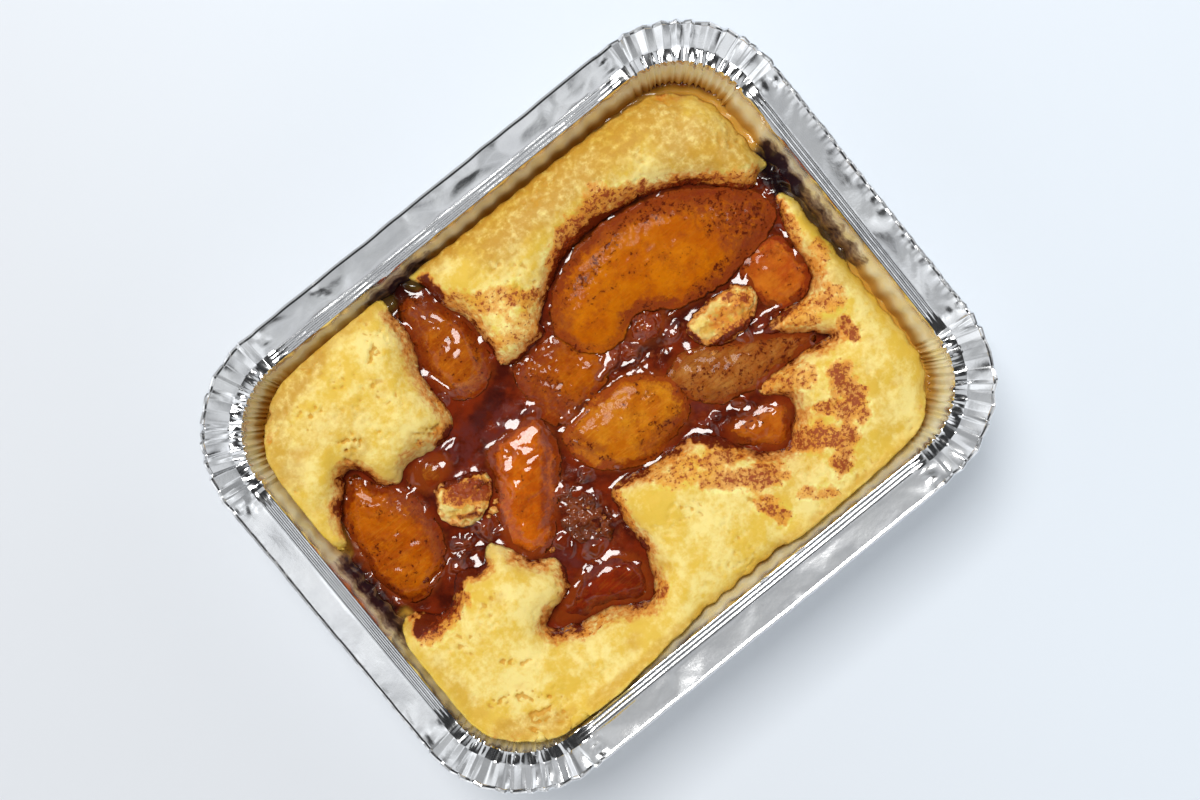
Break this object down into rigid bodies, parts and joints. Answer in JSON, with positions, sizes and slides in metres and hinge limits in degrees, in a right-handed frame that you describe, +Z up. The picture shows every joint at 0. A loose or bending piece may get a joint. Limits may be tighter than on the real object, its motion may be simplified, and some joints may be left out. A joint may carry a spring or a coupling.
{
  "type": "peach cobbler",
  "caption": "Peach cobbler in its own oblong foil tray: torn golden pastry dusted with cinnamon round an opening of glossy peach slices in dark syrup.",
  "frame": {"origin": "centre of the tray's flat underside", "axes": "+X along the tray's long side, +Z up out of the tray"},
  "size_m": [0.145, 0.1148, 0.042],
  "materials": {
    "foil": "bright rolled foil, crimped at the rim, golden with butter inside",
    "pastry": "golden baked pastry with a crumbly surface and cinnamon",
    "peach": "wet cooked peach, orange and slightly translucent",
    "stained_peach": "wet cooked peach stained red by the syrup",
    "syrup": "dark glossy peach and cinnamon syrup",
    "soaked_crumb": "pastry soaked with syrup, dark and wet"
  },
  "bodies": {
    "root": {"crumb_left": "pastry", "crumb_right": "pastry", "crumb_soaked": "soaked_crumb", "crust_left": "pastry", "crust_main": "pastry", "crust_top": "pastry", "foil_tray": "foil", "peach_big": "peach", "peach_bit_left": "peach", "peach_bit_middle": "stained_peach", "peach_centre": "peach", "peach_far": "peach", "peach_inner": "peach", "peach_long": "peach", "peach_lower": "stained_peach", "peach_oval": "peach", "peach_red": "stained_peach", "peach_small": "peach", "peach_syrup": "syrup", "peach_upper": "peach"}
  },
  "joints": []
}
